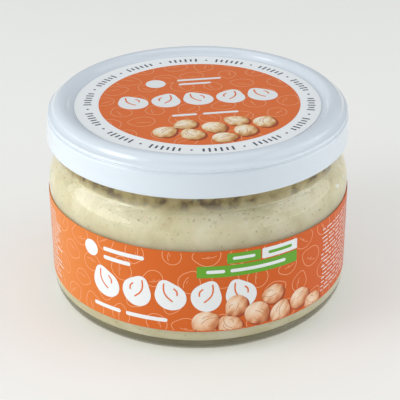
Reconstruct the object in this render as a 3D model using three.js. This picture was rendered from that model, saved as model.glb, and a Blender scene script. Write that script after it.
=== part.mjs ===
// A shut glass jar of hummus: a low, wide jar with a pressed twist-off lid, a round paper label
// on the lid, a paper band round the jar, and the hummus that fills it.
// Millimetres, +Z up, origin at the centre of the jar's foot.
import * as THREE from "three";

// Driving dimensions
const FACETS = 64; // facets round every turned piece
const JAR_RADIUS = 42.8;
const WALL = 2.6;
const HEEL_RADIUS = 5.5; // outer round between the foot and the wall
const HEEL_RADIUS_INSIDE = 5;
const FLOOR = 2.9; // glass under the hummus, measured from the foot
const FOOT_RADIUS = 37; // the ring that the jar stands on
const FOOT_HOLLOW = 0.9; // how far the base is pushed up inside that ring
const WALL_TOP = 34.5; // where the straight wall turns into the shoulder
const SHOULDER_RADIUS = 14;
const SHOULDER_TURN = 29; // degrees that the shoulder turns through before it meets the neck
const NECK_ROOT = 43.2;
const NECK_RADIUS = 40.1;
const MOUTH_RADIUS = 37.5;
const RIM_TOP = 57.3;
const THREAD_RADIUS = 40.9;
const THREAD_HEIGHT = 53.1; // middle of the thread bead

const LID_RADIUS = 42.7; // over the curl
const LID_BOTTOM = 48.1;
const LID_CROWN = 58.6;
const LID_PANEL = 56.6; // sunk panel that carries the round label
const LID_SHEET = 0.5;
const PANEL_RADIUS = 34.9;

const LEVEL = 53.0; // top of the hummus, under the lid
const LEVEL_DROP = 0.7; // how far the top sinks where it meets the wall
const CLEARANCE = 0.3; // hummus to glass

const PAPER = 0.12;
const PAPER_GAP = 0.08; // glue line, with room for the facets
const BAND_BOTTOM = 8.1;
const BAND_TOP = 32.9;
const BAND_OPENING = 9; // bare glass at the back, where the two ends of the band come near each other
const DISC_RADIUS = 34.6;

const paint = (colour, roughness) => new THREE.MeshStandardMaterial({ color: colour, roughness });

// Points of an arc about (r, z), from one angle to another in degrees, both ends included.
function arc(r, z, radius, from, to, steps) {
  return Array.from({ length: steps + 1 }, (_, i) => {
    const angle = ((from + ((to - from) * i) / steps) * Math.PI) / 180;
    return [r + radius * Math.cos(angle), z + radius * Math.sin(angle)];
  });
}

// A turned solid from its section, given as [radius, height] points anticlockwise in the r-z plane.
// A section that doesn't reach the axis is closed on itself.
function turned(name, section, material) {
  const points = section.map(([r, z]) => new THREE.Vector2(Math.max(r, 0), z));
  if (points[0].x > 0) points.push(points[0].clone());
  const geometry = new THREE.LatheGeometry(points, FACETS);
  geometry.rotateX(Math.PI / 2);
  const mesh = new THREE.Mesh(geometry, material);
  mesh.name = name;
  return mesh;
}

// The jar's hollow, drawn in from the glass by a clearance: the middle of the floor, the inner
// heel, the wall, the inside of the shoulder, and the start of the mouth.
function hollow(clearance) {
  const radius = JAR_RADIUS - WALL - clearance;
  const heel = HEEL_RADIUS_INSIDE - clearance;
  const floor = FLOOR + clearance;
  const shoulder = SHOULDER_RADIUS - WALL - clearance;
  const mouth = MOUTH_RADIUS - clearance;
  return [
    [0, floor],
    ...arc(radius - heel, floor + heel, heel, -90, 0, 6),
    ...arc(radius - shoulder, WALL_TOP, shoulder, 0, SHOULDER_TURN - 2, 5),
    [mouth + 0.6, NECK_ROOT - 1.8],
    [mouth + 0.15, NECK_ROOT - 0.8],
    [mouth, NECK_ROOT + 0.1],
  ];
}

// The jar: pushed-up base, foot, heel, wall, shoulder and neck outside, then the hollow inside.
function jar() {
  const heel = JAR_RADIUS - HEEL_RADIUS;
  const rimMiddle = (MOUTH_RADIUS + NECK_RADIUS) / 2;
  const rimRadius = (NECK_RADIUS - MOUTH_RADIUS) / 2;
  const outside = [
    [0, FOOT_HOLLOW],
    [FOOT_RADIUS - 3, FOOT_HOLLOW],
    [FOOT_RADIUS - 1, 0],
    ...arc(heel, HEEL_RADIUS, HEEL_RADIUS, -90, 0, 6),
    ...arc(JAR_RADIUS - SHOULDER_RADIUS, WALL_TOP, SHOULDER_RADIUS, 0, SHOULDER_TURN, 6),
    [NECK_RADIUS + 0.45, NECK_ROOT - 0.9],
    [NECK_RADIUS, NECK_ROOT],
    [NECK_RADIUS, THREAD_HEIGHT - 1],
    [THREAD_RADIUS, THREAD_HEIGHT - 0.4],
    [THREAD_RADIUS, THREAD_HEIGHT + 0.4],
    [NECK_RADIUS, THREAD_HEIGHT + 1],
    ...arc(rimMiddle, RIM_TOP - rimRadius, rimRadius, 0, 180, 6),
  ];
  return turned("jar", [...outside, ...hollow(0).reverse()], paint(0xe6ece4, 0.05));
}

// The hummus: the jar's hollow less the clearance, up to its level.
function hummus() {
  const mouth = MOUTH_RADIUS - CLEARANCE;
  const top = [
    [mouth, LEVEL - LEVEL_DROP],
    [mouth - 4, LEVEL - LEVEL_DROP * 0.4],
    [mouth - 12, LEVEL],
    [0, LEVEL],
  ];
  return turned("hummus", [...hollow(CLEARANCE), ...top], paint(0xded2a4, 0.6));
}

// The lid's outer face from the curl to the panel's edge: skirt, groove, rounded bead, crown, slope.
function lidFace() {
  return [
    [LID_RADIUS, LID_BOTTOM + 0.8],
    [LID_RADIUS - 0.05, LID_BOTTOM + 1.5],
    [LID_RADIUS - 0.25, LID_BOTTOM + 3],
    [LID_RADIUS - 0.4, LID_CROWN - 4.5],
    [LID_RADIUS - 0.75, LID_CROWN - 3.65],
    [LID_RADIUS - 0.6, LID_CROWN - 2.85],
    [LID_RADIUS - 0.95, LID_CROWN - 2.05],
    [LID_RADIUS - 1.6, LID_CROWN - 1.25],
    [LID_RADIUS - 2.5, LID_CROWN - 0.55],
    [LID_RADIUS - 3.5, LID_CROWN - 0.15],
    [LID_RADIUS - 4.4, LID_CROWN],
    [LID_RADIUS - 5.4, LID_CROWN - 0.1],
    [PANEL_RADIUS + 1.8, LID_CROWN - 0.5],
    [PANEL_RADIUS + 0.8, LID_PANEL + 0.3],
    [PANEL_RADIUS, LID_PANEL],
  ];
}

// The lid: its face, the underside one sheet below, and the rolled curl at the bottom.
function lid() {
  const inner = LID_RADIUS - 1.05;
  const under = [
    [PANEL_RADIUS + 0.35, LID_PANEL - LID_SHEET],
    [PANEL_RADIUS + 1.2, LID_PANEL - 0.1],
    [PANEL_RADIUS + 2.3, LID_CROWN - LID_SHEET - 0.25],
    [LID_RADIUS - 4.4, LID_CROWN - LID_SHEET - 0.05],
    [LID_RADIUS - 3.6, LID_CROWN - LID_SHEET - 0.2],
    [LID_RADIUS - 2.75, LID_CROWN - LID_SHEET - 0.6],
    [LID_RADIUS - 2, LID_CROWN - LID_SHEET - 1.2],
    [LID_RADIUS - 1.45, LID_CROWN - LID_SHEET - 1.85],
    [LID_RADIUS - 1.15, LID_CROWN - LID_SHEET - 2.5],
    [LID_RADIUS - 1.25, LID_CROWN - LID_SHEET - 3.2],
    [LID_RADIUS - 0.9, LID_CROWN - 4.7],
    [LID_RADIUS - 0.75, LID_BOTTOM + 2.4],
    [inner + 0.15, LID_BOTTOM + 1.3],
    [inner, LID_BOTTOM + 0.7],
    [inner + 0.2, LID_BOTTOM + 0.2],
    [LID_RADIUS - 0.55, LID_BOTTOM],
    [LID_RADIUS - 0.15, LID_BOTTOM + 0.25],
  ];
  const section = [[0, LID_PANEL - LID_SHEET], ...under, ...lidFace(), [0, LID_PANEL]];
  return turned("lid", section, paint(0xe4ebf2, 0.25));
}

// The round paper label on the lid's sunk panel.
function lidLabel() {
  const low = LID_PANEL + 0.02;
  const section = [
    [0, low],
    [DISC_RADIUS, low],
    [DISC_RADIUS, low + PAPER],
    [0, low + PAPER],
  ];
  return turned("lid_label", section, paint(0xdd7346, 0.4));
}

// The paper band: a ring sector as tall as the label, open at the back (+Y).
function bandLabel() {
  const inside = JAR_RADIUS + PAPER_GAP;
  const half = BAND_OPENING / 2 / JAR_RADIUS;
  const start = Math.PI / 2 + half;
  const end = Math.PI / 2 - half + 2 * Math.PI;
  const outline = new THREE.Shape();
  outline.absarc(0, 0, inside + PAPER, start, end, false);
  outline.absarc(0, 0, inside, end, start, true);
  const geometry = new THREE.ExtrudeGeometry(outline, {
    depth: BAND_TOP - BAND_BOTTOM,
    bevelEnabled: false,
    curveSegments: FACETS,
  });
  const mesh = new THREE.Mesh(geometry, paint(0xe0672f, 0.4));
  mesh.name = "band_label";
  mesh.position.z = BAND_BOTTOM;
  return mesh;
}

const part = new THREE.Group();
part.add(jar(), hummus(), lid(), lidLabel(), bandLabel());

export default part;
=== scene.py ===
# %% [markdown]
# # A shut glass jar of hummus
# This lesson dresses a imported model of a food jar: a low glass jar full of hummus, a pressed
# white lid, a round label on the lid and a paper band round the jar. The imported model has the
# right sizes but flat facets, so each of its pieces gets a fine surface worked out with numpy.

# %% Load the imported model
import math

import bmesh
import bpy
import numpy as np
from mathutils import Matrix, Vector


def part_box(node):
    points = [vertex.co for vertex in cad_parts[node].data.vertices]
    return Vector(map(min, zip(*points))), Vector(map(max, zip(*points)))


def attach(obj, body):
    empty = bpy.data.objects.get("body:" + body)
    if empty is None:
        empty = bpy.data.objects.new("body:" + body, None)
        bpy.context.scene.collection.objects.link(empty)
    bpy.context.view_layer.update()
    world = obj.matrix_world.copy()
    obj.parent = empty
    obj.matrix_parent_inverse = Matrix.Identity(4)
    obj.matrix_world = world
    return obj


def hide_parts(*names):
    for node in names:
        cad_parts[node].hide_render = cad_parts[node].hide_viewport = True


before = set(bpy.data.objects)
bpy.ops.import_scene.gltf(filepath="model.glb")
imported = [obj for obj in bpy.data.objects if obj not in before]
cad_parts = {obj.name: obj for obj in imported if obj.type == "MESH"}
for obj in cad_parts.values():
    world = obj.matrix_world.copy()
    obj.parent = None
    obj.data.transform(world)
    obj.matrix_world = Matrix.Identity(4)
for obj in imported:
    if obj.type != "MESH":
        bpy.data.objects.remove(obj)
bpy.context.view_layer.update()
MM = 0.001

# %% [markdown]
# The photograph was matched with a pinhole camera: the outlines of the lid, of the labels and
# of the jar only agree with one height, one distance and one focal length. A camera could also be
# placed by eye, but a matched one says how large each part is too. The numbers below are that
# match, as real distances, and the focal length is turned into a lens for a 36 mm sensor that
# spans the picture's 400 pixels.

# %% The camera of the photograph
CAMERA_DISTANCE = 371 * MM
CAMERA_ELEVATION = math.radians(27.9)
CAMERA_ROLL = math.radians(-0.31)
AIM_HEIGHT = 25.5 * MM
AIM_SIDE = 0.5 * MM
FOCAL_PIXELS = 1268.7
PICTURE_PIXELS = 400
SENSOR = 36.0  # millimetres


def photo_camera():
    """The camera stands back from the aim point along the elevation; its own right and up axes
    are turned by the roll about the line of sight."""
    camera = bpy.data.cameras.new("photo_camera")
    camera.sensor_width = SENSOR
    camera.lens = FOCAL_PIXELS / PICTURE_PIXELS * SENSOR
    camera.clip_start = 0.01
    forward = Vector((0, math.cos(CAMERA_ELEVATION), -math.sin(CAMERA_ELEVATION)))
    level = Vector((1, 0, 0))
    upright = level.cross(forward)
    right = math.cos(CAMERA_ROLL) * level + math.sin(CAMERA_ROLL) * upright
    up = right.cross(forward)
    place = Vector((AIM_SIDE, 0, AIM_HEIGHT)) - CAMERA_DISTANCE * forward
    made = bpy.data.objects.new("photo_camera", camera)
    made.matrix_world = Matrix.Translation(place) @ Matrix((right, up, -forward)).transposed().to_4x4()
    bpy.context.scene.collection.objects.link(made)
    bpy.context.scene.camera = made
    print("lens, mm:", round(camera.lens, 1), "camera at, mm:", [round(v / MM, 1) for v in place])


photo_camera()

# %% [markdown]
# Every turned piece is a section carried round the axis. A Screw modifier could do that, but a
# grid of points worked out here can also be pushed in and out as it turns, which the filling
# needs. The section is a short list of real points, and a centripetal Catmull-Rom curve rounds
# it: it passes through each point and doesn't overshoot where a long wall meets a small round.

# %% Smooth sections and closed meshes
TURNS = 288  # steps round the axis


def rounded(points, steps=6):
    """Hermite curve through the points. The step length is the square root of the distance
    between neighbours, and a point's tangent is the mean of its two slopes, each weighted by the
    other side's step. Returns the curve's points, both ends included."""
    p = np.asarray(points, float)
    h = np.sqrt(np.maximum(np.linalg.norm(np.diff(p, axis=0), axis=1), 1e-9))[:, None]
    slope = np.diff(p, axis=0) / h
    inner = (slope[:-1] * h[1:] + slope[1:] * h[:-1]) / (h[1:] + h[:-1])
    tangent = np.vstack([slope[:1], inner, slope[-1:]])
    t = (np.arange(steps) / steps)[None, :, None]
    a, b = p[:-1, None], p[1:, None]
    ma, mb = tangent[:-1, None] * h[:, None], tangent[1:, None] * h[:, None]
    curve = (
        (2 * t**3 - 3 * t**2 + 1) * a + (t**3 - 2 * t**2 + t) * ma
        + (3 * t**2 - 2 * t**3) * b + (t**3 - t**2) * mb
    )
    return np.vstack([curve.reshape(-1, p.shape[1]), p[-1:]])


def grid_faces(rows, columns, wrap_rows, wrap_columns):
    """Four corners for each cell of a grid of points, as one array of indices."""
    i = np.arange(rows if wrap_rows else rows - 1)[:, None]
    j = np.arange(columns if wrap_columns else columns - 1)[None, :]
    i2, j2 = (i + 1) % rows, (j + 1) % columns
    corners = [i * columns + j, i2 * columns + j, i2 * columns + j2, i * columns + j2]
    return np.stack(corners, -1).reshape(-1, 4)


def make_piece(name, points, faces, weld=0.0):
    """A mesh object from arrays in millimetres. A welded mesh has its doubles merged, which
    closes seams and poles, and then its faces are turned outwards."""
    mesh = bpy.data.meshes.new(name)
    mesh.from_pydata((np.asarray(points).reshape(-1, 3) * MM).tolist(), [], np.asarray(faces).tolist())
    if weld:
        edit = bmesh.new()
        edit.from_mesh(mesh)
        bmesh.ops.remove_doubles(edit, verts=edit.verts, dist=weld * MM)
        bmesh.ops.recalc_face_normals(edit, faces=edit.faces)
        edit.to_mesh(mesh)
        edit.free()
    mesh.shade_smooth()
    made = bpy.data.objects.new(name, mesh)
    bpy.context.scene.collection.objects.link(made)
    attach(made, "root")
    print(name, len(mesh.vertices), "points", len(mesh.polygons), "faces")
    return made


def turned(name, section, turns=TURNS, push=None):
    """A section of (radius, height) points, closed on itself, carried round the axis: x is the
    radius times the cosine of the angle and y the radius times its sine. push, if given, turns the
    arrays of angle, radius and height into new radii and heights."""
    s = np.asarray(section, float)
    angle = (np.arange(turns) / turns * 2 * np.pi)[:, None]
    radius = np.broadcast_to(s[:, 0], (turns, len(s)))
    height = np.broadcast_to(s[:, 1], (turns, len(s)))
    if push is not None:
        radius, height = push(angle, radius, height)
    points = np.stack([radius * np.cos(angle), radius * np.sin(angle), height + 0 * angle], -1)
    return make_piece(name, points, grid_faces(turns, len(s), True, True), weld=1e-4)


def arc(r, z, radius, start, end, steps=10):
    """Points of a round about (r, z), between two angles in degrees."""
    a = np.radians(np.linspace(start, end, steps + 1))
    return np.stack([r + radius * np.cos(a), z + radius * np.sin(a)], -1)


# %% [markdown]
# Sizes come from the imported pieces' boxes, so the fine surfaces land where the solids are. The
# wall and the floor of the glass follow from the filling, which is kept a clearance off both.

# %% Sizes read from the frame, in millimetres
JAR_RADIUS = round(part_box("jar")[1].x / MM, 2)
RIM_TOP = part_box("jar")[1].z / MM
LID_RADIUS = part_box("lid")[1].x / MM
LID_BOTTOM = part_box("lid")[0].z / MM
LID_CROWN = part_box("lid")[1].z / MM
DISC_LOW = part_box("lid_label")[0].z / MM
DISC_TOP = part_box("lid_label")[1].z / MM
DISC_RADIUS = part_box("lid_label")[1].x / MM
BAND_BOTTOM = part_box("band_label")[0].z / MM
BAND_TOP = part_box("band_label")[1].z / MM
BAND_RADIUS = -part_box("band_label")[0].y / MM
HUMMUS_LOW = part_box("hummus")[0].z / MM
HUMMUS_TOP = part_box("hummus")[1].z / MM
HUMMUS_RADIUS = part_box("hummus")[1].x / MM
CLEARANCE = 0.3
WALL = JAR_RADIUS - HUMMUS_RADIUS - CLEARANCE
FLOOR = HUMMUS_LOW - CLEARANCE
print("wall", round(WALL, 2), "floor", round(FLOOR, 2), "band", round(BAND_TOP - BAND_BOTTOM, 1))

# %% [markdown]
# The jar is moulded soda-lime glass. Solidify could give one surface a wall, but a real jar is
# thick at the heel and thinner at the neck, so both sides are drawn. Its outside and inside are
# one closed section: the pushed-up base, the heel, the wall, the shoulder and the neck, then
# back down the hollow.

# %% The jar's surface
HEEL_RADIUS = 5.5
HEEL_INSIDE = 5.0
FOOT_RADIUS = 37.0
FOOT_HOLLOW = 0.9
WALL_TOP = 34.5
SHOULDER_RADIUS = 14.0
SHOULDER_TURN = 29.0  # degrees
NECK_ROOT = 43.2
NECK_RADIUS = 40.1
MOUTH_RADIUS = 37.5
THREAD_RADIUS = 40.9
THREAD_HEIGHT = 53.1


def jar_outside():
    """From the middle of the base out to the heel, up the wall and over the rim."""
    base = rounded([[0, FOOT_HOLLOW], [FOOT_RADIUS - 5, FOOT_HOLLOW],
                    [FOOT_RADIUS - 2.4, FOOT_HOLLOW - 0.25], [FOOT_RADIUS - 1, 0.02],
                    [FOOT_RADIUS + 0.3, 0]], 5)
    heel = arc(JAR_RADIUS - HEEL_RADIUS, HEEL_RADIUS, HEEL_RADIUS, -85, 0, 16)
    wall = np.stack([np.full(14, JAR_RADIUS), np.linspace(HEEL_RADIUS, WALL_TOP, 14)], -1)[1:-1]
    shoulder = arc(JAR_RADIUS - SHOULDER_RADIUS, WALL_TOP, SHOULDER_RADIUS, 0, SHOULDER_TURN, 16)
    neck = rounded([shoulder[-1], [NECK_RADIUS + 0.45, NECK_ROOT - 0.9],
                    [NECK_RADIUS + 0.05, NECK_ROOT + 0.2], [NECK_RADIUS, NECK_ROOT + 2],
                    [NECK_RADIUS, THREAD_HEIGHT - 1.4],
                    [THREAD_RADIUS, THREAD_HEIGHT - 0.4], [THREAD_RADIUS, THREAD_HEIGHT + 0.4],
                    [NECK_RADIUS, THREAD_HEIGHT + 1.4]], 6)[1:]
    rim_radius = (NECK_RADIUS - MOUTH_RADIUS) / 2
    rim = arc(MOUTH_RADIUS + rim_radius, RIM_TOP - rim_radius, rim_radius, 0, 180, 14)
    return np.vstack([base, heel, wall, shoulder, neck, rim])


def hollow(offset, top):
    """The jar's hollow, moved into the glass by offset: down the mouth, under the shoulder, down
    the wall and round the inner heel to the middle of the floor."""
    radius = JAR_RADIUS - WALL + offset
    heel = HEEL_INSIDE + offset
    floor = FLOOR - offset
    inside = SHOULDER_RADIUS - WALL + offset
    shoulder = arc(radius - inside, WALL_TOP, inside, SHOULDER_TURN - 2, 0, 16)
    mouth = MOUTH_RADIUS + offset
    neck = rounded([[mouth, top], [mouth, NECK_ROOT + 0.5], [mouth + 0.15, NECK_ROOT - 0.8],
                    [mouth + 0.6, NECK_ROOT - 1.8], shoulder[0]], 10)
    wall = np.stack([np.full(40, radius), np.linspace(WALL_TOP, floor + heel, 40)], -1)[1:-1]
    bottom = arc(radius - heel, floor + heel, heel, 0, -90, 18)
    return np.vstack([neck[:-1], shoulder, wall, bottom, [[0, floor]]])


jar = turned("glass_jar", np.vstack([jar_outside(), hollow(0.0, RIM_TOP - 1.3)[1:]]))
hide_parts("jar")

# %% [markdown]
# Hummus is a soft paste, filled in while it is loose. It wets the glass nearly everywhere, so
# its surface reaches just into the wall. Near the neck it leaves small pits of air, it bridges
# the bend of the glass with a shallow crease, and its top is a slight swirl. All of them could
# be sculpted, but as sums on the hollow's own section they come out the same on every run.

# %% The hummus
INTO_GLASS = 0.12
PIT_DEPTH = 0.7
CREASE_HEIGHT = 41.9  # at the bend between the shoulder and the neck
CREASE_REACH = 0.35
CREASE_SHARE = 0.7  # of the depth of a pit
TOP_EDGE = HUMMUS_TOP - 1.5  # what lies higher is the top, and what lies lower is on the wall
SWIRL = 0.45
SETTLED = 0.5  # how far the top has sunk below the solid's level
PITS = 110
rng = np.random.default_rng(7)
pit_angle = rng.uniform(-np.pi, np.pi, PITS)
pit_height = 33 + 14 * rng.beta(3.0, 1.6, PITS)
pit_size = rng.uniform(0.25, 0.75, PITS) * (0.6 + 0.4 * (pit_height > 42))


def hummus_push(angle, radius, height):
    """On the wall, each pit takes a Gaussian dip out of the radius, and so does the crease. The top
    sinks by a fixed amount and gains a swirl: a sine of the angle plus the radius, which fades at
    the axis and at the wall."""
    dip = np.zeros(radius.shape)
    for a, z, size in zip(pit_angle, pit_height, pit_size):
        across = (np.angle(np.exp(1j * (angle - a))) * JAR_RADIUS) / (size * 1.5)
        dip = np.maximum(dip, np.exp(-(across**2) - ((height - z) / size) ** 2))
    dip = np.maximum(dip, CREASE_SHARE * np.exp(-(((height - CREASE_HEIGHT) / CREASE_REACH) ** 2)))
    on_wall = (radius > MOUTH_RADIUS - 0.5) & (height < TOP_EDGE)
    on_top = height > TOP_EDGE
    share = np.clip(radius / MOUTH_RADIUS, 0, 1)
    swirl = SWIRL * np.sin(2 * angle + radius * 0.55) * share * (1 - share**4)
    return radius - PIT_DEPTH * dip * on_wall, height + swirl * on_top - SETTLED * on_top


hummus_top = rounded([[0, HUMMUS_TOP], [MOUTH_RADIUS - 12, HUMMUS_TOP],
                      [MOUTH_RADIUS - 4, HUMMUS_TOP - 0.3],
                      [MOUTH_RADIUS + INTO_GLASS, HUMMUS_TOP - 0.7]], 14)
wall_line = hollow(INTO_GLASS, HUMMUS_TOP - 0.9)
hummus = turned("hummus_fill", np.vstack([hummus_top, wall_line]), 400, hummus_push)
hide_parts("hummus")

# %% [markdown]
# The lid is pressed from lacquered tinplate. Its section steps down from the crown to a sunk
# panel inside. Outside, a hollow step leads down to a small bead with a groove under it, and the
# skirt runs on from there and rolls into a curl. Solidify would fold over itself in the curl, so
# the underside is a line of its own.

# %% The lid
PANEL = DISC_LOW - 0.02
PANEL_RADIUS = DISC_RADIUS + 0.3
SHEET = 0.5


def lid_section():
    """The underside from the middle out to the curl, about a sheet below the face, and then the
    face from the curl up and in to the middle of the panel."""
    r = LID_RADIUS
    face = rounded([[r, LID_BOTTOM + 0.8], [r - 0.05, LID_BOTTOM + 1.5], [r - 0.25, LID_BOTTOM + 3],
                    [r - 0.4, LID_CROWN - 4.3], [r - 0.5, LID_CROWN - 3.9], [r - 0.9, LID_CROWN - 3.45],
                    [r - 0.65, LID_CROWN - 3.0], [r - 0.8, LID_CROWN - 2.5], [r - 1.4, LID_CROWN - 2.1],
                    [r - 1.95, LID_CROWN - 1.6], [r - 2.4, LID_CROWN - 0.95], [r - 3.1, LID_CROWN - 0.4],
                    [r - 3.9, LID_CROWN - 0.08], [r - 4.6, LID_CROWN], [r - 5.4, LID_CROWN - 0.1],
                    [PANEL_RADIUS + 1.8, LID_CROWN - 0.5], [PANEL_RADIUS + 0.8, PANEL + 0.3],
                    [PANEL_RADIUS, PANEL], [PANEL_RADIUS - 2, PANEL], [0, PANEL]], 7)
    inner = r - 1.05
    under = rounded([[0, PANEL - SHEET], [PANEL_RADIUS - 1, PANEL - SHEET],
                     [PANEL_RADIUS + 0.35, PANEL - SHEET], [PANEL_RADIUS + 1.2, PANEL - 0.1],
                     [PANEL_RADIUS + 2.3, LID_CROWN - SHEET - 0.25],
                     [r - 4.5, LID_CROWN - SHEET - 0.05], [r - 3.9, LID_CROWN - SHEET - 0.15],
                     [r - 3.3, LID_CROWN - SHEET - 0.45], [r - 2.75, LID_CROWN - SHEET - 1.05],
                     [r - 2.25, LID_CROWN - SHEET - 1.65], [r - 1.6, LID_CROWN - SHEET - 2.1],
                     [r - 1.25, LID_CROWN - SHEET - 2.6], [r - 1.35, LID_CROWN - SHEET - 3.2],
                     [r - 0.95, LID_CROWN - 4.7], [r - 0.75, LID_BOTTOM + 2.4],
                     [inner + 0.15, LID_BOTTOM + 1.3], [inner, LID_BOTTOM + 0.7],
                     [inner + 0.2, LID_BOTTOM + 0.2], [r - 0.55, LID_BOTTOM],
                     [r - 0.15, LID_BOTTOM + 0.25], [r, LID_BOTTOM + 0.8]], 5)
    return np.vstack([under[:-1], face])


lid = turned("lacquered_lid", lid_section())
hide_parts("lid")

# %% [markdown]
# Both labels are thin coated paper. They could be a second material on the lid and the glass,
# but a real label has a cut edge that catches the light, so each is a solid of its own. The
# round one is a flat disc. The band is a thin section carried round the jar, from one of its
# ends to the other, so the glass shows at the back.

# %% The two papers
PAPER = DISC_TOP - DISC_LOW
BAND_OPENING = 9.0
BAND_REACH = np.pi * JAR_RADIUS - BAND_OPENING / 2  # from the front to either end, round the jar
BAND_STEPS = 360
SHARP_EDGE = math.radians(40)  # the cut edges of paper turn further than this


def band_points(around, height, lift):
    """Label coordinates on the jar: around is millimetres of arc from the front, to the right
    seen from outside; the angle is that arc over the jar's radius."""
    a = np.asarray(around) / JAR_RADIUS
    r = BAND_RADIUS + lift
    return np.stack(np.broadcast_arrays(r * np.sin(a), -r * np.cos(a), height), -1)


def paper_band():
    """Four corners of the paper's section at each step round, with a flat face at both ends."""
    around = np.linspace(-BAND_REACH, BAND_REACH, BAND_STEPS + 1)[:, None]
    lift = np.array([-PAPER, 0, 0, -PAPER])
    height = np.array([BAND_BOTTOM, BAND_BOTTOM, BAND_TOP, BAND_TOP])
    a = around / JAR_RADIUS
    r = BAND_RADIUS + lift
    points = np.stack([r * np.sin(a), -r * np.cos(a), height + 0 * a], -1)
    sides = grid_faces(BAND_STEPS + 1, 4, False, True).tolist()
    last = BAND_STEPS * 4
    ends = [[0, 1, 2, 3], [last + 3, last + 2, last + 1, last]]
    return make_piece("paper_band", points, sides + ends, weld=1e-4)


band = paper_band()
band.data.set_sharp_from_angle(angle=SHARP_EDGE)
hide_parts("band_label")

disc_section = [[0, DISC_LOW], [DISC_RADIUS, DISC_LOW], [DISC_RADIUS, DISC_TOP], [0, DISC_TOP]]
disc = turned("paper_disc", disc_section)
disc.data.set_sharp_from_angle(angle=SHARP_EDGE)
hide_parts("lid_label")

# %% [markdown]
# The print is ink on paper. Shader nodes could draw it, but a mesh keeps a crisp edge at any
# distance. So each kind of printed shape is one thin mesh just proud of the paper, drawn in flat
# label coordinates and then laid on the disc or bent round the jar: seeds, bars, dots and ticks.

# %% Drawing in flat label coordinates
INK = 0.02  # millimetres proud of the paper, so the ink shows as a clean edge
PRINT_CENTRE = (0.5, 0.0)  # the round print sits a little to the right on the lid
PRINT_RADIUS = 28.3
TURN_OF_PRINT = math.radians(9)


def seed_outline(centre, size, turn, beak=0.16, squash=0.9, steps=40):
    """A chickpea's outline: a circle flattened to squash, with a cosine lobe that raises a beak
    at one end, and a faint wave of twice the angle that keeps it from being even. Returns points
    round the loop in label millimetres."""
    t = np.linspace(0, 2 * np.pi, steps, endpoint=False)
    r = size * (1 + beak * np.maximum(np.cos(t), 0) ** 8 - 0.05 * np.cos(2 * t + 0.7))
    x, y = r * np.cos(t), squash * r * np.sin(t)
    across = centre[0] + x * np.cos(turn) - y * np.sin(turn)
    along = centre[1] + x * np.sin(turn) + y * np.cos(turn)
    return np.stack([across, along], -1)


def turning(angle):
    """The matrix that turns points, one to a row, by an angle: its cosines and sines."""
    return np.array([[np.cos(angle), np.sin(angle)], [-np.sin(angle), np.cos(angle)]])


def line_strip(path, width, closed):
    """A ribbon: the path moved to both sides, half the width along its normal."""
    p = np.asarray(path, float)
    ahead = np.roll(p, -1, 0) - np.roll(p, 1, 0)
    if not closed:
        ahead[0], ahead[-1] = p[1] - p[0], p[-1] - p[-2]
    normal = np.stack([-ahead[:, 1], ahead[:, 0]], -1) / np.linalg.norm(ahead, axis=1)[:, None]
    points = np.stack([p - normal * width / 2, p + normal * width / 2], 1).reshape(-1, 2)
    return points, grid_faces(len(p), 2, closed, False)


def filled(outline, rings=1):
    """A filled shape: the outline shrunk to its middle in even steps. The innermost ring is a
    single place, which a weld later closes."""
    middle = outline.mean(0)
    shares = np.linspace(0, 1, rings + 1)[:, None, None]
    points = (middle + (outline - middle) * shares).reshape(-1, 2)
    return points, grid_faces(rings + 1, len(outline), False, True)


def bar(x0, x1, y0, y1, corner, steps=14):
    """A field of colour with round corners, as columns across it, close enough together to follow
    the jar's round. Within a corner's radius of an end, a column's half height follows a quarter
    circle."""
    t = np.linspace(0, np.pi / 2, 7)
    half = (y1 - y0) / 2
    inset = corner * (1 - np.cos(t))
    rise = half - corner + corner * np.sin(t)
    columns = max(steps, round((x1 - x0) / 0.6))
    straight = np.linspace(x0 + corner, x1 - corner, columns)[1:-1]
    x = np.concatenate([x0 + inset, straight, x1 - inset[::-1]])
    h = np.concatenate([rise, np.full(len(straight), half), rise[::-1]])
    low = np.stack([x, (y0 + y1) / 2 - h], -1)
    high = np.stack([x, (y0 + y1) / 2 + h], -1)
    return np.stack([low, high], 1).reshape(-1, 2), grid_faces(len(x), 2, False, False)


def laid_on_band(points, lift):
    """Label coordinates bent round the jar, proud of the paper by lift."""
    return band_points(points[:, 0], points[:, 1], lift)


def laid_on_disc(points, lift):
    """Label coordinates laid flat on the lid's label, turned and moved as a real print is."""
    c, n = np.cos(TURN_OF_PRINT), np.sin(TURN_OF_PRINT)
    x = PRINT_CENTRE[0] + points[:, 0] * c - points[:, 1] * n
    y = PRINT_CENTRE[1] + points[:, 0] * n + points[:, 1] * c
    return np.stack([x, y, np.full(len(points), DISC_TOP + lift)], -1)


def inside_band(points):
    """Which points are on the paper band, a hair in from its edges."""
    return (points[:, 1] > BAND_BOTTOM + 0.1) & (points[:, 1] < BAND_TOP - 0.1)


def inside_field(points):
    """Which points are on the orange field of the round label."""
    return np.hypot(points[:, 0], points[:, 1]) < PRINT_RADIUS - 0.1


def anywhere(points):
    """Every point is kept."""
    return np.ones(len(points), bool)


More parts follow.
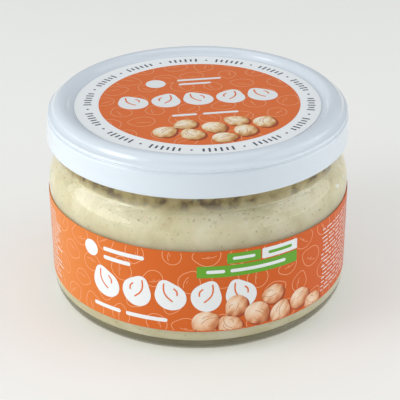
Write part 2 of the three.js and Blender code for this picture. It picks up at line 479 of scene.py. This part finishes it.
def printed(name, shapes, lay, level, keep):
    """All shapes of one ink as one thin piece, as many ink films above the paper as level says. The
    faces whose corners all lie on the paper are kept, Solidify gives them the thickness of a film,
    and the film's edges are marked sharp, so that its top shades flat. A shape may carry a third
    array, a tone from 0 to 1 at each point."""
    points, faces, tones = [], [], []
    first = 0
    for flat, cells, *tone in shapes:
        faces.append(cells[keep(flat)[cells].all(axis=1)] + first)
        points.append(flat)
        tones.append(tone[0] if tone else np.zeros(len(flat)))
        first += len(flat)
    made = make_piece(name, lay(np.vstack(points), INK * level), np.vstack(faces))
    shade = made.data.attributes.new("tone", "FLOAT", "POINT")
    shade.data.foreach_set("value", np.concatenate(tones).astype(np.float32))
    edit = bmesh.new()
    edit.from_mesh(made.data)
    bmesh.ops.remove_doubles(edit, verts=edit.verts, dist=1e-4 * MM)
    bmesh.ops.delete(edit, geom=[v for v in edit.verts if not v.link_faces], context="VERTS")
    edit.to_mesh(made.data)
    edit.free()
    film = made.modifiers.new("film", "SOLIDIFY")
    film.thickness = INK * MM
    film.offset = 1
    bpy.context.view_layer.update()
    graph = bpy.context.evaluated_depsgraph_get()
    made.data = bpy.data.meshes.new_from_object(made.evaluated_get(graph))
    made.modifiers.clear()
    made.data.set_sharp_from_angle(angle=math.radians(30))
    return made


# %% [markdown]
# The orange field of the round label is a disc of ink of its own, so that the white rim round it
# stays paper. Line-drawn chickpeas cover the orange on both labels. They stand in rows, each
# shifted by half a step, and a seeded draw moves and turns each one a little.

# %% Orange field and drawn chickpeas
LINE = 0.21
draw = np.random.default_rng(23)


def dot(x, y, size, steps=40):
    """A plain round dot."""
    t = np.linspace(0, 2 * np.pi, steps, endpoint=False)
    return filled(np.stack([x + size * np.cos(t), y + size * np.sin(t)], -1), 3)


def drawn_seed(centre, size):
    """One outline, with the beak's crease as an arc across it and a shorter wrinkle beside it."""
    turn = draw.uniform(0, 2 * np.pi)
    t = np.linspace(-0.9, 0.7, 12)
    crease = np.stack([size * 0.8 * np.sin(t), size * (draw.uniform(0.25, 0.5) * np.cos(t) - 0.1)], -1)
    spun = crease @ turning(turn)
    return [line_strip(seed_outline(centre, size, turn, 0.28, steps=56), LINE, True),
            line_strip(spun + centre, LINE * 0.85, False),
            line_strip(spun[4:10] * 0.5 + centre, LINE * 0.7, False)]


def drawn_rows(low, high, rows, step, reach, size):
    """Staggered rows of drawn chickpeas between two heights, out to reach on both sides."""
    shapes = []
    for row, y in enumerate(np.linspace(low, high, rows)):
        for x in np.arange(-reach + (row % 2) * step / 2, reach, step):
            centre = np.array([x, y]) + draw.uniform(-0.8, 0.8, 2)
            shapes += drawn_seed(centre, size * draw.uniform(0.85, 1.12))
    return shapes


band_lines = printed("band_drawn_seeds", drawn_rows(10, 31, 4, 9.4, BAND_REACH - 5, 3.1),
                     laid_on_band, 0.5, inside_band)
disc_field = printed("disc_orange_field", [dot(0, 0, PRINT_RADIUS, 240)], laid_on_disc, 0.5, anywhere)
disc_lines = printed("disc_drawn_seeds", drawn_rows(-26, 26, 8, 9.4, 27, 3.1),
                     laid_on_disc, 1.5, inside_field)

# %% [markdown]
# Plump white seeds in a row are the boldest print on both labels, with plain bars above and
# below them, two green fields, and blocks of short fine dashes at the sides. All shapes of one
# ink and one level go into one mesh, so each is a single piece with a single material.

# %% Bold white shapes, green fields and fine dashes
def seed_row(x0, x1, y, size, count, lean):
    """Plump seeds side by side, with their beaks up and leaning left and right by turns."""
    return [filled(seed_outline((x, y), size, math.pi / 2 + lean * (-1) ** k, 0.3, 0.93, 64), 5)
            for k, x in enumerate(np.linspace(x0, x1, count))]


def bar_line(x0, y, lengths, height, gap=1.6):
    """Plain bars with round ends on one line, with a gap between neighbours."""
    starts = x0 + np.cumsum([0] + [n + gap for n in lengths])
    return [bar(a, a + n, y - height / 2, y + height / 2, height / 2 - 0.01)
            for a, n in zip(starts, lengths)]


def fine_dashes(x0, x1, low, high, pitch, thick=0.3, gap=0.7):
    """Rows of short thin bars of uneven lengths, a pitch apart."""
    shapes = []
    for y in np.arange(low, high, pitch):
        x = x0 + draw.uniform(0, 1.5)
        while x < x1:
            length = draw.uniform(1.0, 4.5)
            shapes.append(bar(x, x + length, y - thick / 2, y + thick / 2, 0.1, steps=5))
            x += length + gap
    return shapes


BACK = 134.5  # label coordinate of the back of the jar
FRONT_SEEDS = (-26.5, 11.5, 18.8, 4.35, 5, 0.4)  # first and last, height, size, how many, lean
BACK_SEEDS = (BACK - 70, BACK - 32, 18.8, 4.35, 5, 0.4)
DISC_SEEDS = (-18.5, 18.5, 1.8, 4.3, 5, 0.4)

band_white = seed_row(*FRONT_SEEDS) + bar_line(-31, 11.4, [9, 12], 1.2)
band_white += bar_line(-27, 29.6, [12.5], 1.2) + bar_line(-27, 27.0, [8.5], 1.2)
band_white += [dot(-31.4, 28.3, 2.4), bar(17.2, 28.2, 28.9, 32.0, 0.35)]
band_white += seed_row(*BACK_SEEDS) + bar_line(BACK - 66, 11.4, [12, 9], 1.2)
band_white += fine_dashes(38.5, 60, 10.5, 31, 1.3) + fine_dashes(-74, -50, 10.5, 31, 1.3)
band_white += [bar(10 - BACK, 40 - BACK, 11, 30, 0.8)]
bold_print = printed("band_white_print", band_white, laid_on_band, 1.0, inside_band)
green_fields = [bar(7.5, 16.8, 28.9, 32.0, 0.35), bar(-0.5, 28.2, 25.0, 28.5, 0.35)]
green_print = printed("band_green_fields", green_fields, laid_on_band, 1.0, inside_band)
light_bars = bar_line(9.0, 30.45, [6.2], 0.9) + bar_line(2.0, 26.75, [5, 16], 1.0, 1.4)
light_marks = printed("band_light_marks", light_bars, laid_on_band, 2.0, inside_band)
panel_rows = [row for y in np.arange(13.2, 29, 2.3) for row in bar_line(12 - BACK, y, [15, 7], 0.7, 3)]
orange_marks = printed("band_orange_marks", panel_rows, laid_on_band, 2.0, inside_band)
green_marks = printed("band_green_marks", bar_line(19.0, 30.45, [7.4], 0.9),
                      laid_on_band, 2.0, inside_band)
disc_white = seed_row(*DISC_SEEDS) + bar_line(-9, -8.4, [7, 10], 1.2)
disc_white += bar_line(-4, 16.2, [13], 1.2) + bar_line(-4, 13.2, [9.5], 1.2) + [dot(-10.5, 14.7, 2.9)]
disc_bold = printed("disc_white_print", disc_white, laid_on_disc, 2.0, inside_field)

# %% [markdown]
# A chickpea has a groove from its beak down its side. On the white seeds it is printed in the
# orange of the ground, as a line on top of the white, which is simpler than a gap left in it.

# %% Grooves of the white seeds
SEED_GROOVES = ((1.02, -0.35, 0.0, 0.24), (0.5, -0.05, -0.42, -0.1))  # start, end, offset, bend
SEED_GROOVE_WIDTH = 0.42


def seed_creases(x0, x1, y, size, count, lean):
    """The groove of each plump seed: a line from under its beak past its middle, bent to one side
    by a half sine, and a short one beside it."""
    shapes = []
    t = np.linspace(0, 1, 16)
    for k, x in enumerate(np.linspace(x0, x1, count)):
        spin = turning(math.pi / 2 + lean * (-1) ** k)
        for start, end, offset, bend in SEED_GROOVES:
            rise = (offset + bend * np.sin(np.pi * t)) * (-1) ** k
            line = np.stack([start + (end - start) * t, rise], -1)
            shapes.append(line_strip(line * size @ spin + [x, y], SEED_GROOVE_WIDTH, False))
    return shapes


band_creases = printed("band_seed_creases", seed_creases(*FRONT_SEEDS) + seed_creases(*BACK_SEEDS),
                       laid_on_band, 2.0, inside_band)
disc_creases = printed("disc_seed_creases", seed_creases(*DISC_SEEDS), laid_on_disc, 3.0, inside_field)

# %% [markdown]
# Small dark ticks and dots run round the white rim of the lid's label, like a plain scale. There
# are only about a hundred, so each is a short ribbon of its own and needs no instancing.

# %% Ticks round the label's rim
def rim_ticks(count, radius, long, short, width):
    """Thin bars that point outwards, spaced evenly. Every ninth place holds a dot and its two
    neighbours are bare."""
    shapes = []
    for k in range(count):
        a = 2 * np.pi * k / count
        out = np.array([np.cos(a), np.sin(a)])
        if k % 9 == 0:
            shapes.append(dot(*(out * radius), 0.35))
        elif k % 9 not in (1, 8):
            half = (long if k % 2 else short) / 2
            path = np.linspace(radius - half, radius + half, 3)[:, None] * out
            shapes.append(line_strip(path, width, False))
    return shapes


ticks = printed("disc_rim_ticks", rim_ticks(126, 31.4, 2.2, 1.7, 0.55), laid_on_disc, 0.5, anywhere)

# %% [markdown]
# The printed chickpeas are round fields with a soft shade. A picture could hold the shade, but
# a tone at each point of the mesh is enough: it is 0 near a lit spot up and to the left and 1 at
# the far edge, and the ink's colour reads it.

# %% Printed chickpeas
PEA_BEAK = 0.22


def printed_pea(centre, size, turn):
    """A filled seed and its tone: the distance from the lit spot, raised to the power 1.5, plus
    two faint waves that grow outwards, one round the middle and one across, for the wrinkles of
    the skin."""
    points, faces = filled(seed_outline(centre, size, turn, PEA_BEAK, steps=48), 8)
    x, y = ((points - centre) / size).T
    tone = 0.55 * np.hypot(x + 0.25, y - 0.3) ** 1.5
    waves = 0.14 * np.sin(3 * np.arctan2(y, x) + turn + 4 * x) + 0.12 * np.sin(8 * x - 6 * y + 5 * turn)
    wrinkle = waves * np.hypot(x, y)
    return points, faces, np.clip(tone + wrinkle, 0, 1)


BAND_PEAS = [((1.5, 11.0), 3.7, 0.4), ((8.6, 9.4), 3.4, 2.2), ((10.2, 15.8), 3.3, 4.0),
             ((16.0, 12.4), 3.7, 5.4), ((23.2, 10.4), 3.5, 1.2), ((21.0, 17.0), 3.2, 3.1),
             ((29.6, 12.6), 3.3, 0.2), ((35.4, 9.2), 3.2, 2.6)]
DISC_PEAS = [((-12.5, -18.6), 3.4, 0.6), ((-6.0, -14.6), 3.2, 3.4), ((-5.2, -21.4), 3.4, 1.9),
             ((1.2, -17.6), 3.5, 5.0), ((2.6, -24.6), 3.3, 0.1), ((8.0, -14.6), 3.3, 2.5),
             ((9.2, -20.8), 3.4, 4.3), ((15.2, -16.6), 3.4, 1.1)]
SHADE_SHIFT = np.array([0.5, -0.55])
PEA_WRINKLES = ((1.0, -0.25, 0.0, 0.22), (0.55, 0.0, 0.36, 0.1), (0.6, 0.1, -0.34, -0.1))
PEA_WRINKLE_WIDTH = 0.18


def pea_shades(peas):
    """The same outlines, a little larger and moved down to the right, as the print's own shade."""
    return [filled(seed_outline(centre + SHADE_SHIFT, size * 1.03, turn, PEA_BEAK, steps=48), 3)
            for centre, size, turn in peas]


def pea_creases(peas):
    """The groove that runs from each pea's beak across its side, as a bent line, with a short
    wrinkle on either side of it."""
    shapes = []
    t = np.linspace(0, 1, 12)
    for centre, size, turn in peas:
        for start, end, offset, bend in PEA_WRINKLES:
            line = np.stack([start + (end - start) * t, offset + bend * np.sin(np.pi * t)], -1)
            shapes.append(line_strip(line * size @ turning(turn) + centre, PEA_WRINKLE_WIDTH, False))
    return shapes


band_shades = printed("band_pea_shades", pea_shades(BAND_PEAS), laid_on_band, 2.0, inside_band)
disc_shades = printed("disc_pea_shades", pea_shades(DISC_PEAS), laid_on_disc, 2.5, inside_field)
band_peas = printed("band_printed_peas", [printed_pea(*p) for p in BAND_PEAS],
                    laid_on_band, 2.5, inside_band)
disc_peas = printed("disc_printed_peas", [printed_pea(*p) for p in DISC_PEAS],
                    laid_on_disc, 3.0, inside_field)
band_grooves = printed("band_pea_grooves", pea_creases(BAND_PEAS), laid_on_band, 3.5, inside_band)
disc_grooves = printed("disc_pea_grooves", pea_creases(DISC_PEAS), laid_on_disc, 4.0, inside_field)

# %% [markdown]
# Colours are written as sRGB hex values, which are what the eye compares with a photograph, and
# one function turns them into the linear values that the shader works in. One more function adds
# a node, sets it up and links its inputs.

# %% Colour and node helpers
def linear(code):
    """sRGB hex to linear: a twelfth of the value near black, and a power of 2.4 above it."""
    share = np.array([int(code[i:i + 2], 16) / 255 for i in (1, 3, 5)])
    value = np.where(share <= 0.04045, share / 12.92, ((share + 0.055) / 1.055) ** 2.4)
    return (*value.tolist(), 1.0)


def add(tree, kind, inputs=None, stops=(), **settings):
    """A node with its settings. An input, by its name or its number, is linked if it is given a
    socket and set if it is given a value. stops are the (place, colour) pairs of a colour ramp."""
    made = tree.nodes.new(kind)
    for key, value in settings.items():
        setattr(made, key, value)
    for k, (place, code) in enumerate(stops):
        element = made.color_ramp.elements[k] if k < 2 else made.color_ramp.elements.new(place)
        element.position = place
        element.color = linear(code)
    for key, value in (inputs or {}).items():
        if isinstance(value, bpy.types.NodeSocket):
            tree.links.new(value, made.inputs[key])
        else:
            made.inputs[key].default_value = value
    return made


def coat_pieces(name, pieces, **values):
    """A new material on the pieces. Values set the shader's own sockets. Returns the node tree,
    the shader and the Object coordinates that the patterns read."""
    made = bpy.data.materials.new(name)
    made.use_nodes = True
    tree = made.node_tree
    tree.nodes.clear()
    inputs = {key.replace("_", " "): linear(value) if isinstance(value, str) else value
              for key, value in values.items()}
    shader = add(tree, "ShaderNodeBsdfPrincipled", inputs)
    add(tree, "ShaderNodeOutputMaterial", {"Surface": shader.outputs["BSDF"]})
    place = add(tree, "ShaderNodeTexCoord").outputs["Object"]
    for piece in pieces:
        piece.data.materials.clear()
        piece.data.materials.append(made)
    print(name, "on", ", ".join(piece.name for piece in pieces))
    return tree, shader, place


# %% [markdown]
# The jar is soda-lime glass, pressed in a mould: clear with a trace of green, an IOR of 1.52, and
# a skin that is very slightly wavy. The eye reads it by its sharp, gently bent highlights. The
# waves are about 9 mm long and only 0.05 mm high, so they are a bump and not part of the mesh. The
# glass casts no shadow, because the shadow of clear glass would come out nearly as dark as a
# solid's, and the paste behind it is lit.

# %% Moulded soda-lime glass
tree, shader, place = coat_pieces("moulded_soda_lime_glass", [jar], Base_Color="#F9FBF6",
                                  Transmission_Weight=1.0, IOR=1.52, Roughness=0.04)
waves = add(tree, "ShaderNodeTexNoise", {"Vector": place, "Scale": 1 / (9 * MM), "Detail": 1.0})
bump = add(tree, "ShaderNodeBump", {"Height": waves.outputs["Fac"], "Distance": 0.05 * MM})
tree.links.new(bump.outputs["Normal"], shader.inputs["Normal"])
jar.visible_shadow = False

# %% [markdown]
# The hummus is chickpeas ground with sesame paste and oil: matt, a little translucent and pale
# straw in colour, with smears where it was pressed to the glass and fine specks of skin, more of
# them near the neck. Round the neck, under the lid, the paste is painted darker and browner with
# dark mottling: painted shade for the lid's shadow and for pockets of air. A painted picture could
# hold all this, but noise needs none and goes all the way round: 13 mm for the smears, 3.2 mm for
# the mottling of the painted shade, 1.6 mm for the grain and 0.8 mm for the specks. Real specks are
# near 0.3 mm across, and they are drawn about twice as coarse.

# %% Smooth chickpea paste
tree, shader, place = coat_pieces("ground_chickpea_paste", [hummus], Roughness=0.55,
                                  Subsurface_Weight=0.15, Subsurface_Scale=2 * MM)
smears = add(tree, "ShaderNodeTexNoise", {"Vector": place, "Scale": 1 / (13 * MM), "Detail": 6.0,
                                          "Roughness": 0.62, "Distortion": 0.9})
cream = add(tree, "ShaderNodeValToRGB", {"Fac": smears.outputs["Fac"]},
            stops=[(0.30, "#D4C89C"), (0.45, "#E1D8B2"), (0.57, "#EAE2C2"), (0.72, "#F2ECD4")])
height = add(tree, "ShaderNodeSeparateXYZ", {"Vector": place}).outputs["Z"]
crowd = add(tree, "ShaderNodeMapRange", {"Value": height, "From Min": 34 * MM, "From Max": 42 * MM,
                                         "To Min": -0.04, "To Max": 0.03})
specks = add(tree, "ShaderNodeTexNoise", {"Vector": place, "Scale": 1 / (0.8 * MM), "Detail": 0.0})
crowded = add(tree, "ShaderNodeMath", {0: specks.outputs["Fac"], 1: crowd.outputs["Result"]},
              operation="ADD")
speck = add(tree, "ShaderNodeValToRGB", {"Fac": crowded.outputs["Value"]},
            stops=[(0.70, "#000000"), (0.80, "#B0B0B0")])
paste = add(tree, "ShaderNodeMixRGB", {"Fac": speck.outputs["Color"], "Color1": cream.outputs["Color"],
                                       "Color2": linear("#9C8348")})
# Painted shade: from 41.5 mm up the paste blends into a darker, mottled brown, for the lid's shadow on
# the neck and for dark pockets of air.
rise = add(tree, "ShaderNodeMapRange", {"Value": height, "From Min": 41.5 * MM, "From Max": 44.5 * MM})
shade_mottle = add(tree, "ShaderNodeTexNoise", {"Vector": place, "Scale": 1 / (3.2 * MM), "Detail": 6.0})
neck_shade = add(tree, "ShaderNodeValToRGB", {"Fac": shade_mottle.outputs["Fac"]},
            stops=[(0.38, "#6B5225"), (0.45, "#A08A4A"), (0.60, "#C0AE76")])
paste_and_neck_shade = add(tree, "ShaderNodeMixRGB", {"Fac": rise.outputs["Result"], "Color1": paste.outputs["Color"],
                                      "Color2": neck_shade.outputs["Color"]})
tree.links.new(paste_and_neck_shade.outputs["Color"], shader.inputs["Base Color"])
grain = add(tree, "ShaderNodeTexNoise", {"Vector": place, "Scale": 1 / (1.6 * MM), "Detail": 3.0})
bump = add(tree, "ShaderNodeBump", {"Height": grain.outputs["Fac"], "Distance": 0.12 * MM})
tree.links.new(bump.outputs["Normal"], shader.inputs["Normal"])

# %% [markdown]
# The lid is tinplate under a baked white lacquer. No metal shows, so the base colour is the
# lacquer's, and a clear coat on top gives its gloss. The very faint orange peel that a rolled
# coat dries to is a bump about 2 mm across.

# %% Baked white lacquer on tinplate
tree, shader, place = coat_pieces("baked_white_lacquer", [lid], Base_Color="#DCE5ED", Roughness=0.2,
                                  Coat_Weight=0.6, Coat_Roughness=0.06)
peel = add(tree, "ShaderNodeTexNoise", {"Vector": place, "Scale": 1 / (2.2 * MM), "Detail": 1.0})
bump = add(tree, "ShaderNodeBump", {"Height": peel.outputs["Fac"], "Distance": 0.006 * MM})
tree.links.new(bump.outputs["Normal"], shader.inputs["Normal"])

# %% [markdown]
# The labels are coated paper. The band is printed orange all over, and its orange runs from a
# lighter, yellower tone at the left to a deeper one towards the right. The paper's fibres leave a
# very fine grain under the varnish. A printed ink is a film of one colour, so each is a plain
# colour with the gloss and the grain of the paper under it.

# %% Coated paper and inks
def paper(name, pieces, **values):
    """Coated paper or ink on it, with the grain of the fibres. Real fibres are about 0.03 mm wide,
    and they are drawn as clumps of half a millimetre, so that the picture can show them."""
    tree, shader, place = coat_pieces(name, pieces, Roughness=0.45, Specular_IOR_Level=0.3,
                                      Coat_Weight=0.08, Coat_Roughness=0.2, **values)
    fibres = add(tree, "ShaderNodeTexNoise", {"Vector": place, "Scale": 1 / (0.5 * MM), "Detail": 2.0})
    bump = add(tree, "ShaderNodeBump", {"Height": fibres.outputs["Fac"], "Distance": 0.004 * MM})
    tree.links.new(bump.outputs["Normal"], shader.inputs["Normal"])
    return tree, shader, place


paper("coated_white_paper", [disc], Base_Color="#F6F9FA")
tree, shader, place = paper("orange_printed_paper", [band])
side = add(tree, "ShaderNodeSeparateXYZ", {"Vector": place})
share = add(tree, "ShaderNodeMapRange", {"Value": side.outputs["X"],
                                         "From Min": -45 * MM, "From Max": 45 * MM})
tint = add(tree, "ShaderNodeValToRGB", {"Fac": share.outputs["Result"]},
           stops=[(0.0, "#E2862F"), (0.35, "#D86518"), (1.0, "#D4580C")])
tree.links.new(tint.outputs["Color"], shader.inputs["Base Color"])
paper("orange_ink", [disc_field, band_creases, disc_creases, orange_marks], Base_Color="#E5702E")
paper("rust_ink", [band_shades, disc_shades], Base_Color="#A8451B")
paper("brown_ink", [band_grooves, disc_grooves], Base_Color="#CB8F60")
paper("pale_orange_ink", [band_lines, disc_lines], Base_Color="#EFA577")
paper("white_ink", [bold_print, disc_bold, light_marks], Base_Color="#EEF1F1")
paper("green_ink", [green_print, green_marks], Base_Color="#66A92B")
paper("slate_ink", [ticks], Base_Color="#4C5763")
PEA_INKS = {
    "pale_chickpea_print": (disc_peas, ["#FDF2DE", "#F4DCB4", "#DCA868", "#A8652C"]),
    "warm_chickpea_print": (band_peas, ["#F9E0C8", "#F0C49E", "#DA9060", "#A64F28"]),
}
for name, (peas, colours) in PEA_INKS.items():
    tree, shader, place = paper(name, [peas])
    tone = add(tree, "ShaderNodeAttribute", attribute_name="tone")
    pea = add(tree, "ShaderNodeValToRGB", {"Fac": tone.outputs["Fac"]},
              stops=list(zip((0.0, 0.28, 0.6, 1.0), colours)))
    tree.links.new(pea.outputs["Color"], shader.inputs["Base Color"])

# %% [markdown]
# The stage is an opal table top, lit faintly from below as such tables are, so that the foot of
# the glass stays clear, and soft studio light. A key stands high on the left with a larger,
# weaker lamp behind it, so that its highlight on the glass has a soft edge. A fill stands on the
# right, and a broad lamp overhead. Low lamps in front and at both sides light the heel, as the
# pale walls of a light tent do. The Standard view keeps printed colours as they are written.

# %% Floor, lights and surroundings
def plain_floor(size):
    """A square floor at height zero, a hair under the jar's foot."""
    mesh = bpy.data.meshes.new("pale_floor")
    corners = np.array([[-1, -1, 0], [1, -1, 0], [1, 1, 0], [-1, 1, 0]]) * size - [0, 0, 0.05 * MM]
    mesh.from_pydata(corners.tolist(), [], [[0, 1, 2, 3]])
    made = bpy.data.objects.new("pale_floor", mesh)
    bpy.context.scene.collection.objects.link(made)
    return made


def softbox(name, place, aim, width, height, power):
    """An oval area light at a place in metres, turned to face the aim point."""
    lamp = bpy.data.lights.new(name, "AREA")
    lamp.shape = "ELLIPSE"
    lamp.size, lamp.size_y = width, height
    lamp.energy = power
    made = bpy.data.objects.new(name, lamp)
    made.location = place
    made.rotation_euler = (Vector(aim) - Vector(place)).to_track_quat("-Z", "Y").to_euler()
    bpy.context.scene.collection.objects.link(made)
    print("lamp", name, power, "W")


floor = plain_floor(2.5)
coat_pieces("lit_opal_table_top", [floor], Base_Color="#E4E4E1", Roughness=0.6,
            Emission_Color="#F2F2EC", Emission_Strength=0.22)
middle = (0, 0, 0.03)
foot = (0, 0, 0.02)
softbox("key", (-0.62, -0.26, 0.50), middle, 0.40, 0.32, 1.2)
softbox("key_glow", (-0.64, -0.28, 0.52), middle, 0.75, 0.62, 0.8)
softbox("top", (0.0, 0.05, 0.75), middle, 0.8, 0.8, 1.0)
softbox("fill", (0.64, -0.10, 0.40), middle, 0.75, 0.60, 0.9)
softbox("bounce", (0.0, -0.70, 0.10), middle, 1.2, 0.22, 0.10)
softbox("left_wall", (-0.57, -0.15, 0.10), foot, 0.62, 0.16, 0.5)
softbox("left_glow", (-0.60, -0.16, 0.11), foot, 0.95, 0.30, 1.1)
softbox("right_wall", (0.58, -0.12, 0.10), foot, 0.90, 0.32, 1.0)
bpy.context.scene.view_settings.view_transform = "Standard"
world = bpy.data.worlds.new("studio")
bpy.context.scene.world = world
world.use_nodes = True
background = world.node_tree.nodes["Background"]
background.inputs["Color"].default_value = linear("#E4E8EC")
background.inputs["Strength"].default_value = 0.5
